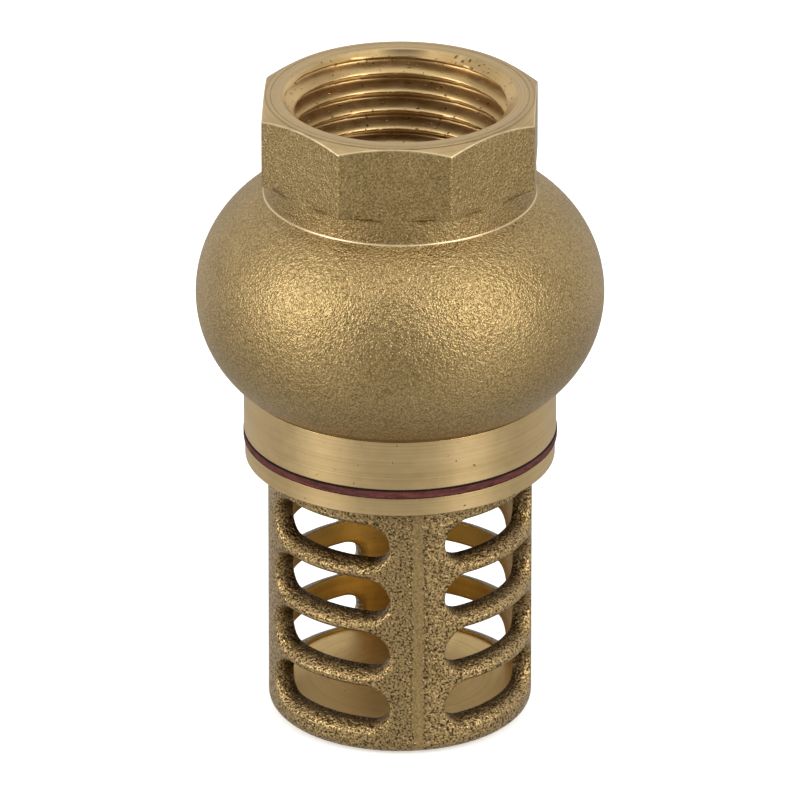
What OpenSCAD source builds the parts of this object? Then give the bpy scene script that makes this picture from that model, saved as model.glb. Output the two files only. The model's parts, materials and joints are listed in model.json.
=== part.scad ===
// Foot valve with a female pipe thread: a spring-closed poppet in a bulb-shaped body,
// above a slotted strainer basket. The origin is the centre of the basket's underside,
// and the flow runs up along +Z. Two flats of the hub's octagon face along Y.

/* [Pipe thread] */
// Minor diameter of the internal pipe thread (G 1/2)
thread_minor_d = 18.63; // [15:0.01:23]
// Depth of the pipe thread, from its minor to its major radius
thread_depth = 1.165; // [1:0.005:1.5]
// Depth of the countersink at the thread's mouth
mouth_h = 0.75; // [0.4:0.05:1.5]

/* [Hub] */
// Wall between the pipe thread's bottom and the octagon's flats
hub_wall = 1.62; // [1.2:0.02:4]
// Height of the octagon
hub_h = 7; // [5:0.1:12]
// How far inside the flats the top corner bevel starts
bevel_inset = 0.2; // [0.1:0.05:0.6]
// Slope of the top corner bevel, in degrees
bevel_deg = 30; // [15:1:45]
// Wall of the round neck, measured from the pipe thread's bottom
neck_wall = 1.92; // [1.4:0.02:3.5]
// Height of the neck that shows between the octagon and the bulb
neck_h = 2.3; // [1:0.1:6]

/* [Bulb] */
// Largest diameter of the bulb
bulb_d = 36.5; // [34:0.5:44]
// Height from the skirt ring to the bulb's widest circle
belly_h = 8.5; // [7.5:0.1:12]
// Height from the bulb's widest circle to the neck
shoulder_h = 9.75; // [8.5:0.05:13]
// Wall thickness of the bulb
bulb_wall = 1.9; // [1.2:0.1:2.6]

/* [Skirt] */
// Wall of the turned ring under the bulb
skirt_wall = 2.8; // [2:0.1:3.6]
// Height of the turned ring
ring_h = 4.7; // [3.5:0.1:8]
// Room between the disc head and the skirt's bore, through which it is fitted
skirt_room = 1.3; // [0.8:0.1:2]

/* [Gasket] */
// Thickness of the joint gasket
gasket_t = 0.85; // [0.5:0.05:1.5]
// How far the gasket stands proud of the turned ring
gasket_proud = 0.1; // [0:0.05:0.3]

/* [Strainer] */
// Outer diameter of the strainer basket
basket_d = 23.7; // [22:0.1:27]
// Height of the basket from its underside to the flange
basket_h = 24.7; // [24:0.1:34]
// Wall thickness of the basket
basket_wall = 1.75; // [1.2:0.05:2.5]
// Thickness of the basket's floor
floor_t = 2.6; // [1.5:0.1:4]
// Radius of the rounded edge around the underside
foot_r = 1.2; // [0.5:0.1:2]
// How far the flange stays inside the turned ring's edge
flange_inset = 0.1; // [0:0.05:0.5]
// Thickness of the flange
flange_t = 1.7; // [1.2:0.1:3]
// Turn of the basket about the valve's axis when it is screwed home, in degrees
strainer_turn = 10; // [0:1:89]

/* [Slots] */
// Number of slots around the basket
slot_columns = 4; // [3:1:6]
// Number of slots up the basket
slot_rows = 4; // [2:1:4]
// Height of one slot
slot_h = 3.2; // [2:0.1:3.6]
// Height from one slot to the next
slot_pitch = 5.32; // [4.6:0.02:6]
// Wall left between the highest slot and the flange
top_band = 2.7; // [1.5:0.1:4]
// Angle of the solid web between two slots at the basket's bore, in degrees
web_deg = 22.5; // [16:0.5:32]

/* [Seat] */
// Bore of the valve seat
seat_bore_d = 16; // [12:0.1:19.5]
// Width of the raised lip that the seal closes on
lip_w = 0.7; // [0.4:0.1:1.2]
// Height of the raised lip
lip_h = 0.5; // [0.3:0.1:1]
// Height of the lip's top above the skirt ring
seat_rise = 1.05; // [0.6:0.05:1.5]

/* [Guide spider] */
// Height from the spider's shoulder up to the neck
guide_drop = 2.2; // [1.8:0.1:3]
// How much smaller than the skirt's bore the spider is, on its radius
spider_inset = 0.4; // [0.2:0.05:0.8]
// Radial width of the spider's rim
spider_rim_w = 1.7; // [1:0.1:2]
// Radial width of the shoulder that the spider bears on
shoulder_w = 0.9; // [0.6:0.05:1.2]
// Axial gap between the stem's top and the end of the pipe thread
pipe_gap = 0.3; // [0.1:0.05:1]
// Thickness of the spider's rim and arms
spider_t = 1.8; // [1.2:0.1:2.5]
// Number of spider arms
spider_arms = 3; // [3:1:5]
// Width of one spider arm
arm_w = 1.8; // [1.2:0.1:2.5]
// Wall of the spider's middle around the guide bush
spider_hub_wall = 1.6; // [1.2:0.1:2.5]
// Height of the spider's middle
spider_hub_h = 3.6; // [2.5:0.1:4.5]
// Wall of the collar that holds the spider in the bulb
collar_wall = 1.75; // [1.4:0.05:2.2]
// Thickness of the retaining ring under the spider
retainer_t = 0.8; // [0.5:0.1:1]
// Depth of the retaining ring's groove
retainer_bite = 0.5; // [0.3:0.1:0.8]
// Radial width of the retaining ring
retainer_w = 1.4; // [1:0.1:1.8]
// Wall of the guide bush around the stem
bush_wall = 0.75; // [0.6:0.05:1.2]
// Radial width of the guide bush's head
bush_head_w = 0.9; // [0.5:0.1:1.3]
// Thickness of the guide bush's head
bush_head_t = 0.6; // [0.4:0.1:1]
// Length of the guide bush below the spider
bush_nose = 1.2; // [0.6:0.1:2]

/* [Poppet] */
// How far the poppet lifts off its seat
lift = 4; // [2:0.1:4.5]
// Diameter of the stem in the guide bush
stem_d = 2.5; // [2:0.1:3.5]
// Step on the stem's radius down to its threaded lower end
bolt_step = 0.25; // [0.2:0.05:0.4]
// How far the disc head reaches past the seal
disc_margin = 0.3; // [0.1:0.1:0.6]
// Thickness of the disc head
disc_t = 1.8; // [1.2:0.1:2.4]
// Height of the raised rim around the disc head
disc_rim_h = 0.4; // [0.2:0.1:0.8]
// Wall of the boss on the disc head, around the stem
boss_wall = 0.65; // [0.5:0.05:0.8]
// How far the rubber seal reaches past the seat's lip
seal_cover = 0.9; // [0.5:0.1:1.5]
// Thickness of the rubber seal
seal_t = 1.8; // [1.2:0.1:2.5]
// Thickness of the plate that clamps the seal
plate_t = 1; // [0.6:0.1:1.5]
// Gap between the clamping plate and the seat's bore
plate_gap = 1; // [0.5:0.1:1.5]
// Number of guide wings
wings = 3; // [3:1:5]
// Thickness of one guide wing
wing_t = 1.2; // [0.8:0.1:2]
// Height of the guide wings
wing_h = 5.5; // [4.6:0.1:6]
// Wall of the wing guide's middle around the stem
wing_hub_wall = 1.4; // [1:0.1:2]
// Wall of the stem nut at its flats
nut_wall = 1.5; // [1.1:0.1:1.8]
// Thickness of the stem nut
nut_t = 1.9; // [1.4:0.1:2]
// Thickness of the lock washer
lock_t = 0.5; // [0.3:0.1:0.8]
// Length of stem that shows past the nut and past the clip
stem_tail = 0.5; // [0.3:0.1:0.8]
// Thickness of the stem clip
clip_t = 0.5; // [0.3:0.1:0.8]
// How far the stem clip stands out from the stem
clip_w = 1.05; // [0.8:0.05:1.4]
// Depth of the clip's groove in the stem
clip_bite = 0.3; // [0.2:0.05:0.4]

/* [Closing spring] */
// Radial room between the guide bush and the spring
spring_room = 0.5; // [0.2:0.05:0.8]
// Diameter of the spring's wire
wire_d = 0.5; // [0.3:0.05:0.6]
// Thickness of the washer that the spring stands on
thrust_t = 0.4; // [0.3:0.1:0.8]
// How far that washer reaches past the spring
thrust_margin = 0.5; // [0.2:0.1:1]

/* [Clearances] */
// Radial clearance of pieces that are screwed or pressed together
fit_gap = 0.03; // [0.02:0.01:0.06]
// Radial clearance of the stem in its bush
run_gap = 0.05; // [0.03:0.01:0.09]
// Radial clearance of the guide wings in the seat's bore
wing_gap = 0.3; // [0.2:0.05:0.5]
// Axial clearance between pieces that turn or lift apart
face_gap = 0.02; // [0.01:0.01:0.05]

/* [Hidden] */
$fn = 96;
eps = 0.01;

thread_r = thread_minor_d / 2;
thread_major_r = thread_r + thread_depth;
hub_r = thread_major_r + hub_wall;
neck_r = thread_major_r + neck_wall;
bulb_r = bulb_d / 2;

// Seat, seal, disc, skirt and flange, from the seat's bore outwards
seat_r = seat_bore_d / 2;
lip_r = seat_r + lip_w;
seal_r = lip_r + seal_cover;
disc_r = seal_r + disc_margin;
skirt_r = disc_r + skirt_room;
spigot_r = skirt_r - fit_gap;
ring_r = skirt_r + skirt_wall;
flange_r = ring_r - flange_inset;
basket_r = basket_d / 2;
basket_bore_r = basket_r - basket_wall;
spider_r = skirt_r - spider_inset;
collar_r = spider_r + fit_gap;
relief_r = collar_r - shoulder_w;

// Stem, and the pieces around it
stem_r = stem_d / 2;
bolt_r = stem_r - bolt_step;
boss_r = stem_r + boss_wall;
bush_r = stem_r + bush_wall;
bush_head_r = bush_r + bush_head_w;
spider_hub_r = bush_r + spider_hub_wall;
spring_inner_r = bush_r + spring_room;
spring_outer_r = spring_inner_r + wire_d;
thrust_r = spring_outer_r + thrust_margin;
wing_hub_r = bolt_r + wing_hub_wall;
nut_r = bolt_r + nut_wall;
clip_r = stem_r + clip_w;

// Heights, from the basket's underside upwards
gasket_z = basket_h + flange_t;
skirt_z = gasket_z + gasket_t;
bulb_z = skirt_z + ring_h;
mid_z = bulb_z + belly_h;
neck_z = mid_z + shoulder_h;
hub_z = neck_z + neck_h;
top_z = hub_z + hub_h;

// An arc that leaves the bulb's widest circle upright, and draws in by reach over rise
function arc_radius(reach, rise) = (reach * reach + rise * rise) / (2 * reach);
belly_arc_r = arc_radius(bulb_r - ring_r, belly_h);
shoulder_arc_r = arc_radius(bulb_r - neck_r, shoulder_h);

// Guide spider, hung under the shoulder where the pipe thread ends
guide_z = neck_z - guide_drop;
rim_z = guide_z - spider_t;
retainer_z = rim_z - retainer_t;
retainer_r = collar_r + retainer_bite;
collar_z = retainer_z - retainer_t;
spider_hub_z = guide_z - spider_hub_h;
bush_z = spider_hub_z - bush_nose;

// Poppet, from the seat upwards and then downwards
seat_z = bulb_z + seat_rise;
seal_z = seat_z + face_gap;
disc_z = seal_z + seal_t;
disc_top_z = disc_z + disc_t;
boss_z = bush_z - lift - face_gap;
thrust_z = disc_top_z + face_gap;
spring_z = thrust_z + thrust_t;
plate_z = seal_z - plate_t;
wing_z = plate_z - wing_h;
lock_z = wing_z - lock_t;
nut_z = lock_z - nut_t;
clip_z = guide_z + bush_head_t + face_gap;
stem_top_z = clip_z + clip_t + 2 * stem_tail;
thread_z = stem_top_z + pipe_gap;

slot_top_z = basket_h - top_band;
slot_half_w = basket_bore_r * sin(180 / slot_columns - web_deg / 2);

// A flat or tall ring between two radii
module tube(outer, inner, z, h) {
    translate([0, 0, z])
        difference() {
            cylinder(r = outer, h = h);
            translate([0, 0, -eps]) cylinder(r = inner, h = h + 2 * eps);
        }
}

// The bulb's half profile between two heights, drawn in by a wall
module bulb_profile(arc_r, low, high, wall) {
    centre_r = bulb_r - arc_r;
    reach = arc_r - wall;
    intersection() {
        translate([0, low]) square([bulb_r, high - low]);
        union() {
            translate([centre_r, mid_z]) circle(r = reach);
            if (centre_r > 0)
                translate([0, mid_z - reach]) square([centre_r, 2 * reach]);
        }
    }
}

// The hollow of the bulb, with the spider's collar left standing in its roof
module bulb_hollow() {
    rotate_extrude()
        union() {
            difference() {
                union() {
                    bulb_profile(belly_arc_r, bulb_z, mid_z + eps, bulb_wall);
                    bulb_profile(shoulder_arc_r, mid_z, neck_z, bulb_wall);
                }
                translate([0, guide_z]) square([collar_r, shoulder_h]);
                translate([collar_r, collar_z]) square([collar_wall, shoulder_h]);
            }
            translate([0, mid_z]) square([collar_r, guide_z - mid_z]);
        }
}

// The octagon, with its top corners turned off to a shallow cone
module hub_block() {
    bevel_r = hub_r - bevel_inset;
    reach = hub_r / cos(22.5) + 1;
    intersection() {
        translate([0, 0, hub_z]) rotate([0, 0, 22.5])
            cylinder(r = hub_r / cos(22.5), h = hub_h, $fn = 8);
        rotate_extrude()
            polygon([[0, hub_z - 1], [reach, hub_z - 1],
                     [reach, top_z - (reach - bevel_r) * tan(bevel_deg)],
                     [bevel_r, top_z], [0, top_z]]);
    }
}

// The spider's land, the pipe thread at its minor diameter, and the countersink at its mouth
module pipe_bore() {
    polygon([[0, guide_z - eps], [relief_r, guide_z - eps], [relief_r, thread_z],
             [thread_r, thread_z], [thread_r, top_z - mouth_h], [thread_major_r, top_z],
             [thread_major_r, top_z + 1], [0, top_z + 1]]);
}

module body() {
    color("#b39257")
        difference() {
            union() {
                hub_block();
                rotate_extrude() {
                    bulb_profile(belly_arc_r, bulb_z, mid_z, 0);
                    bulb_profile(shoulder_arc_r, mid_z, neck_z, 0);
                }
                translate([0, 0, neck_z - 1]) cylinder(r = neck_r, h = neck_h + 1);
                translate([0, 0, skirt_z]) cylinder(r = ring_r, h = ring_h);
            }
            bulb_hollow();
            translate([0, 0, skirt_z - eps]) cylinder(r = skirt_r, h = ring_h + belly_h / 2);
            rotate_extrude() pipe_bore();
            translate([0, 0, retainer_z]) cylinder(r = retainer_r + fit_gap, h = retainer_t);
        }
}

module joint_gasket() {
    color("#6b3336")
        tube(ring_r + gasket_proud, spigot_r + 2 * fit_gap, gasket_z, gasket_t);
}

// One slot: a straight cut with round ends, made outwards through the wall along +X
module slot(z) {
    end_y = slot_half_w - slot_h / 2;
    inner_x = sqrt(basket_bore_r * basket_bore_r - slot_half_w * slot_half_w) - 1;
    translate([inner_x, 0, z])
        rotate([90, 0, 90])
            linear_extrude(height = basket_r + 1 - inner_x)
                union() {
                    translate([-end_y, -slot_h / 2]) square([2 * end_y, slot_h]);
                    for (side = [-1, 1]) translate([side * end_y, 0]) circle(d = slot_h);
                }
}

module strainer_outline() {
    cone_h = basket_bore_r - seat_r;
    difference() {
        union() {
            square([basket_r - foot_r, foot_r]);
            translate([basket_r - foot_r, foot_r]) circle(r = foot_r);
            translate([0, foot_r]) square([basket_r, basket_h - foot_r]);
            translate([0, basket_h]) square([flange_r, flange_t]);
            translate([0, gasket_z]) square([spigot_r, seat_z - lip_h - gasket_z]);
            translate([0, seat_z - lip_h]) square([lip_r, lip_h]);
        }
        polygon([[0, floor_t], [basket_bore_r, floor_t], [basket_bore_r, basket_h - 0.5],
                 [seat_r, basket_h - 0.5 + cone_h], [seat_r, seat_z + 1], [0, seat_z + 1]]);
    }
}

module strainer_basket() {
    color("#8f7a4c")
        rotate([0, 0, strainer_turn])
            difference() {
                rotate_extrude() strainer_outline();
                for (column = [0 : slot_columns - 1], row = [0 : slot_rows - 1])
                    rotate([0, 0, -90 + (column + 0.5) * 360 / slot_columns])
                        slot(slot_top_z - slot_h / 2 - row * slot_pitch);
            }
}

module spider() {
    color("#c4a468")
        difference() {
            union() {
                tube(spider_r, spider_r - spider_rim_w, rim_z, spider_t);
                translate([0, 0, spider_hub_z]) cylinder(r = spider_hub_r, h = spider_hub_h);
                for (arm = [0 : spider_arms - 1])
                    rotate([0, 0, arm * 360 / spider_arms])
                        translate([0, -arm_w / 2, rim_z])
                            cube([spider_r - spider_rim_w / 2, arm_w, spider_t]);
            }
            translate([0, 0, spider_hub_z - eps])
                cylinder(r = bush_r + fit_gap, h = spider_hub_h + 2 * eps);
        }
}

// An open ring, cut through on its +X side
module open_ring(outer, inner, z, h, gap) {
    difference() {
        tube(outer, inner, z, h);
        translate([0, -gap / 2, z - eps]) cube([outer + 1, gap, h + 2 * eps]);
    }
}

module spider_ring() {
    color("#b9bcc0")
        open_ring(retainer_r, retainer_r - retainer_w, retainer_z, retainer_t - face_gap, 2 * spider_r / 3);
}

module guide_bush() {
    color("#efece2")
        difference() {
            union() {
                translate([0, 0, bush_z]) cylinder(r = bush_r, h = guide_z - bush_z);
                translate([0, 0, guide_z]) cylinder(r = bush_head_r, h = bush_head_t);
            }
            translate([0, 0, bush_z - eps])
                cylinder(r = stem_r + run_gap, h = guide_z + bush_head_t - bush_z + 2 * eps);
        }
}

module valve_stem() {
    color("#c3c6c9")
        difference() {
            union() {
                translate([0, 0, nut_z - stem_tail]) cylinder(r = bolt_r, h = disc_top_z - nut_z + stem_tail);
                translate([0, 0, disc_top_z])
                    cylinder(r = stem_r, h = stem_top_z - disc_top_z);
            }
            tube(stem_r + 1, stem_r - clip_bite, clip_z, clip_t);
        }
}

module disc_head() {
    color("#b9985c")
        difference() {
            union() {
                translate([0, 0, disc_z]) cylinder(r = disc_r, h = disc_t - disc_rim_h);
                tube(disc_r, disc_r - 1, disc_z, disc_t);
                translate([0, 0, disc_z]) cylinder(r = thrust_r + 0.5, h = disc_t);
                translate([0, 0, disc_z]) cylinder(r = boss_r, h = boss_z - disc_z);
            }
            translate([0, 0, disc_z - eps]) cylinder(r = bolt_r + fit_gap, h = disc_t + 1);
            translate([0, 0, disc_top_z]) cylinder(r = stem_r + fit_gap, h = boss_z);
        }
}

module disc_seal() {
    color("#232427") tube(seal_r, bolt_r + fit_gap, seal_z, seal_t);
}

module seal_plate() {
    color("#c4a468") tube(seat_r - plate_gap, bolt_r + fit_gap, plate_z, plate_t);
}

module wing_guide() {
    color("#c4a468")
        difference() {
            intersection() {
                union() {
                    translate([0, 0, wing_z]) cylinder(r = wing_hub_r, h = wing_h);
                    for (wing = [0 : wings - 1])
                        rotate([0, 0, 90 + wing * 360 / wings])
                            translate([(wing_hub_r + bolt_r) / 2, -wing_t / 2, wing_z])
                            cube([seat_r, wing_t, wing_h]);
                }
                translate([0, 0, wing_z - 1]) cylinder(r = seat_r - wing_gap, h = wing_h + 2);
            }
            translate([0, 0, wing_z - eps]) cylinder(r = bolt_r + fit_gap, h = wing_h + 2 * eps);
        }
}

module lock_washer() {
    color("#c3c6c9") open_ring(nut_r, bolt_r + fit_gap, lock_z, lock_t, lock_t);
}

module stem_nut() {
    color("#c3c6c9")
        difference() {
            translate([0, 0, nut_z]) cylinder(r = nut_r / cos(30), h = nut_t, $fn = 6);
            translate([0, 0, nut_z - eps]) cylinder(r = bolt_r + fit_gap, h = nut_t + 2 * eps);
        }
}

module stem_clip() {
    color("#c3c6c9")
        open_ring(clip_r, stem_r - clip_bite + fit_gap, clip_z + face_gap / 2, clip_t - face_gap,
                  2 * (stem_r - clip_bite));
}

module spring_washer() {
    color("#c3c6c9") tube(thrust_r, boss_r + run_gap, thrust_z, thrust_t);
}

// The spring's outer shape: its coils are finer than this part needs
module closing_spring() {
    color("#a9adb1")
        tube(spring_outer_r, spring_inner_r, spring_z, spider_hub_z - spring_z);
}

body();
joint_gasket();
strainer_basket();
spider();
spider_ring();
guide_bush();
valve_stem();
disc_head();
disc_seal();
seal_plate();
wing_guide();
lock_washer();
stem_nut();
stem_clip();
spring_washer();
closing_spring();
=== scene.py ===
import json
import math

import bmesh
import bpy
import numpy as np
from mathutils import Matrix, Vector


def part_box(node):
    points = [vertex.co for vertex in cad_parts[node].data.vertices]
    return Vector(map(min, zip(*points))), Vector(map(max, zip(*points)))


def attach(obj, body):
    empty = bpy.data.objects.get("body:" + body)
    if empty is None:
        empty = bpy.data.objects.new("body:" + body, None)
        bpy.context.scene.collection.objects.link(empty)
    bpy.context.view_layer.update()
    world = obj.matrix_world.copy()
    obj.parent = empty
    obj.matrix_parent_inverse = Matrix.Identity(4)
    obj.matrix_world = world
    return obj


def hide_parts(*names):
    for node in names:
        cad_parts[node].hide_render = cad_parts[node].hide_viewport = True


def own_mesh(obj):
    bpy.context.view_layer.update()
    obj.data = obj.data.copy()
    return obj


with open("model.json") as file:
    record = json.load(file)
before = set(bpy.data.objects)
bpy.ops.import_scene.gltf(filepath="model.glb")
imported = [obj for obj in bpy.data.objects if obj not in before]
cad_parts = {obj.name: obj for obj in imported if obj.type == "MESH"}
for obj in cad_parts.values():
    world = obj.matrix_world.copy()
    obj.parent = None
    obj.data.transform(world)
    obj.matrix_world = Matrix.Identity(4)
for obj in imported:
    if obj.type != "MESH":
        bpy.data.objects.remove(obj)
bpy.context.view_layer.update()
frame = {"nodes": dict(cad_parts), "record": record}
mm = 0.001               # shapes are worked out in millimetres and stored in metres
sharpDeg = 50            # edges bent more than this are drawn sharp
print("frame loaded:", len(frame["nodes"]), "nodes")


def span(node):
    # lowest and highest corner of a CAD node, in millimetres
    low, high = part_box(node)
    return np.array(low) / mm, np.array(high) / mm


bodyLow, bodyHigh = span("body")
gasketLow, gasketHigh = span("joint_gasket")
strainerHigh = span("strainer_basket")[1]
springLow, springHigh = span("closing_spring")


# curves and meshes

def line(start, end, count):
    # straight from start to end in count steps, without the end point
    share = np.arange(count)[:, None] / count
    return np.array(start, float) * (1 - share) + np.array(end, float) * share


def arc(centre, radius, fromDeg, toDeg, count):
    # points of a circle from one angle to another, both ends kept
    angle = np.radians(np.linspace(fromDeg, toDeg, count + 1))
    return np.stack([centre[0] + radius * np.cos(angle), centre[1] + radius * np.sin(angle)], 1)


def softCorners(corners, steps=4):
    # a path through corners (r, z, rounding): each corner becomes a parabola that starts and
    # ends one rounding away from it, with a support point a little further out on each side
    path = []
    for k, (r, z, rounding) in enumerate(corners):
        point = np.array([r, z])
        if rounding <= 0 or k in (0, len(corners) - 1):
            path.append(point)
            continue
        sides = []
        for near in (corners[k - 1], corners[k + 1]):
            way = np.array(near[:2]) - point
            length = np.linalg.norm(way)
            sides.append((way / length, length))
        size = min(rounding, 0.42 * sides[0][1], 0.42 * sides[1][1])
        before, after = (point + way * size for way, _ in sides)
        path.append(point + sides[0][0] * size * 1.15)
        for t in np.linspace(0, 1, steps + 1):
            path.append((1 - t) ** 2 * before + 2 * t * (1 - t) * point + t * t * after)
        path.append(point + sides[1][0] * size * 1.15)
    return np.array(path)


def roundTable(r, z, angles):
    # one ring of points for each (r, z); r and z may also vary with the angle
    r, z = np.broadcast_arrays(np.atleast_2d(r), np.atleast_2d(z))
    r = np.broadcast_to(r, (r.shape[0], len(angles)))
    z = np.broadcast_to(z, (z.shape[0], len(angles)))
    return np.stack([r * np.cos(angles), r * np.sin(angles), z], -1)


def turnedRows(path, count):
    # r and z of a turned outline, the same at each of count angles
    return np.repeat(path[:, :1], count, 1), np.repeat(path[:, 1:], count, 1)


def gridFaces(rows, columns, closeRows=False):
    # four-sided faces between rows of points, each row joined round, and the last row to the first
    # where the outline is closed
    i = np.arange(rows if closeRows else rows - 1)[:, None]
    j = np.arange(columns)[None, :]
    below, beside = (i + 1) % rows, (j + 1) % columns
    corners = (i * columns + j, i * columns + beside, below * columns + beside, below * columns + j)
    return np.stack(np.broadcast_arrays(*corners), -1).reshape(-1, 4)


def makePiece(name, blocks, finishes, joinGap=1e-6):
    # blocks are (points in mm, faces, finish number); shared edges are joined, and faces turned outwards
    points, faces, marks, first = [], [], [], 0
    for blockPoints, blockFaces, mark in blocks:
        flat = np.asarray(blockPoints, float).reshape(-1, 3)
        points.append(flat)
        faces += (np.asarray(blockFaces) + first).tolist()
        marks += np.broadcast_to(mark, len(blockFaces)).tolist()
        first += len(flat)
    mesh = bpy.data.meshes.new(name)
    mesh.from_pydata((np.concatenate(points) * mm).tolist(), [], faces)
    mesh.polygons.foreach_set("material_index", marks)
    for finish in finishes:
        mesh.materials.append(finish)
    work = bmesh.new()
    work.from_mesh(mesh)
    bmesh.ops.remove_doubles(work, verts=work.verts, dist=joinGap)
    bmesh.ops.dissolve_degenerate(work, edges=work.edges, dist=joinGap / 10)
    bmesh.ops.recalc_face_normals(work, faces=work.faces)
    for face in work.faces:
        face.smooth = True
    openEdges = sum(1 for edge in work.edges if not edge.is_manifold)
    work.to_mesh(mesh)
    work.free()
    mesh.set_sharp_from_angle(angle=math.radians(sharpDeg))
    piece = bpy.data.objects.new(name, mesh)
    bpy.context.scene.collection.objects.link(piece)
    print("  ", name, len(mesh.polygons), "faces,", openEdges, "open edges")
    return piece


def standFor(piece, node, body):
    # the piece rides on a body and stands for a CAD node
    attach(piece, body)
    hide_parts(node)
    return piece


# finishes

class Wire:
    # a socket that can be used in arithmetic
    def __init__(self, finish, socket):
        self.finish, self.socket = finish, socket

    def calc(self, operation, first, second=0.0):
        node = self.finish.node("ShaderNodeMath", {"operation": operation}, {0: first, 1: second})
        return node.out(0)

    def __add__(self, other):
        return self.calc("ADD", self, other)

    def __radd__(self, other):
        return self.calc("ADD", other, self)

    def __sub__(self, other):
        return self.calc("SUBTRACT", self, other)

    def __rsub__(self, other):
        return self.calc("SUBTRACT", other, self)

    def __mul__(self, other):
        return self.calc("MULTIPLY", self, other)

    def __rmul__(self, other):
        return self.calc("MULTIPLY", other, self)

    def __truediv__(self, other):
        return self.calc("DIVIDE", self, other)

    def __rtruediv__(self, other):
        return self.calc("DIVIDE", other, self)

    def __gt__(self, other):
        return self.calc("GREATER_THAN", self, other)

    def __pow__(self, other):
        return self.calc("POWER", self, other)

    def __abs__(self):
        return self.calc("ABSOLUTE", self)


class Node:
    # a node whose outputs come out as wires
    def __init__(self, finish, node):
        self.finish, self.node = finish, node

    def out(self, name):
        return Wire(self.finish, self.node.outputs[name])


class Finish:
    # a material with one method that adds any node
    def __init__(self, name):
        self.material = bpy.data.materials.new(name)
        self.material.use_nodes = True
        self.tree = self.material.node_tree
        self.tree.nodes.clear()

    def node(self, kind, settings=None, sockets=None):
        # settings are set first, then each socket gets a value or a link
        made = self.tree.nodes.new(kind)
        for key, value in (settings or {}).items():
            setattr(made, key, value)
        for key, value in (sockets or {}).items():
            if isinstance(value, Wire):
                self.tree.links.new(value.socket, made.inputs[key])
            else:
                made.inputs[key].default_value = value
        return Node(self, made)

    def place(self):
        # the point on the piece, in millimetres
        spot = self.node("ShaderNodeTexCoord").out("Object")
        scaled = self.node("ShaderNodeVectorMath", {"operation": "SCALE"}, {"Vector": spot, "Scale": 1 / mm})
        return scaled.out(0)

    def grain(self, where, perMm, detail, harshness):
        # noise from 0 to 1 with perMm grains to the millimetre
        sockets = {"Vector": where, "Scale": perMm, "Detail": detail, "Roughness": harshness}
        return self.node("ShaderNodeTexNoise", {}, sockets).out("Fac")

    def between(self, value, low, high, toLow=0.0, toHigh=1.0):
        # value from low to high becomes toLow to toHigh, and stays there outside
        sockets = {"Value": value, "From Min": low, "From Max": high, "To Min": toLow, "To Max": toHigh}
        return self.node("ShaderNodeMapRange", {"clamp": True}, sockets).out("Result")

    def blend(self, share, first, second):
        # first colour where share is 0, second where it is 1
        node = self.node("ShaderNodeMix", {"data_type": "RGBA"}, {0: share, 6: first, 7: second})
        return node.out(2)

    def split(self, vector):
        parts = self.node("ShaderNodeSeparateXYZ", {}, {0: vector})
        return parts.out(0), parts.out(1), parts.out(2)

    def join(self, x, y, z):
        return self.node("ShaderNodeCombineXYZ", {}, {0: x, 1: y, 2: z}).out(0)

    def length(self, x, y):
        # distance from the axis
        return (x * x + y * y) ** 0.5

    def bump(self, heightMm):
        # heightMm is a real height in millimetres
        return self.node("ShaderNodeBump", {}, {"Height": heightMm, "Distance": mm}).out("Normal")

    def surface(self, sockets):
        # ends the material, with these sockets on its shader
        shader = self.node("ShaderNodeBsdfPrincipled", {}, sockets).out("BSDF")
        self.node("ShaderNodeOutputMaterial", {}, {"Surface": shader})
        return self.material


def tone(red, green, blue):
    # a colour given as it looks on screen, 0 to 255, turned to linear light
    return tuple((c / 255 / 12.92 if c <= 10 else ((c / 255 + 0.055) / 1.055) ** 2.4)
                 for c in (red, green, blue)) + (1.0,)


castLook = {
    # the darkest colour is painted shade for the creases, not a colour of the brass
    "dark": tone(136, 110, 66), "light": tone(210, 182, 128), "paintedShade": tone(58, 42, 24),
    "peelPerMm": 1.9, "peelHeight": 0.09, "sandPerMm": 5.6, "sandHeight": 0.098, "cloudPerMm": 0.16,
    "roughness": 0.37, "creaseReach": 12.24, "creaseHeight": 0.15, "creaseShade": 0.65,
    "rimStart": 0.1, "rimHeight": 0.8,
}


def castBrass():
    # blasted casting: grains of about half a millimetre with finer sand on them, and painted shade where
    # the octagon's corners overhang the neck and where the bulb meets the ring
    look, f = castLook, Finish("castBrass")
    where = f.place()
    peel = f.grain(where, look["peelPerMm"], 1.0, 0.45)
    sand = f.grain(where, look["sandPerMm"], 1.0, 0.45)
    cloud = f.grain(where, look["cloudPerMm"], 2.0, 0.5)
    speck = f.between(sand, 0.34, 0.64)
    colour = f.blend(speck * 0.6 + cloud * 0.4 - 0.05, look["dark"], look["light"])
    x, y, z = f.split(where)
    # painted shade: a dark line under the octagon's overhanging corners, and a dark band on the bulb just
    # above the ring
    creaseZ = bodyHigh[2] - valveBody["hubHeight"]
    crease = f.between(abs(z - creaseZ), look["creaseHeight"], look["creaseHeight"] * 1.6, 1.0, 0.0)
    crease = crease * (f.length(x, y) > look["creaseReach"])
    rimZ = bodyLow[2] + valveBody["ringHeight"]
    rim = f.between(abs(z - rimZ), look["rimStart"], look["rimHeight"], 1.0, 0.0)
    colour = f.blend(crease * look["creaseShade"] + rim, colour, look["paintedShade"])
    height = peel * look["peelHeight"] + sand * look["sandHeight"]
    rough = f.between(peel, 0.3, 0.7, look["roughness"] + 0.06, look["roughness"] - 0.05)
    return f.surface({"Base Color": colour, "Metallic": 1.0, "Roughness": rough, "Normal": f.bump(height)})


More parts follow.
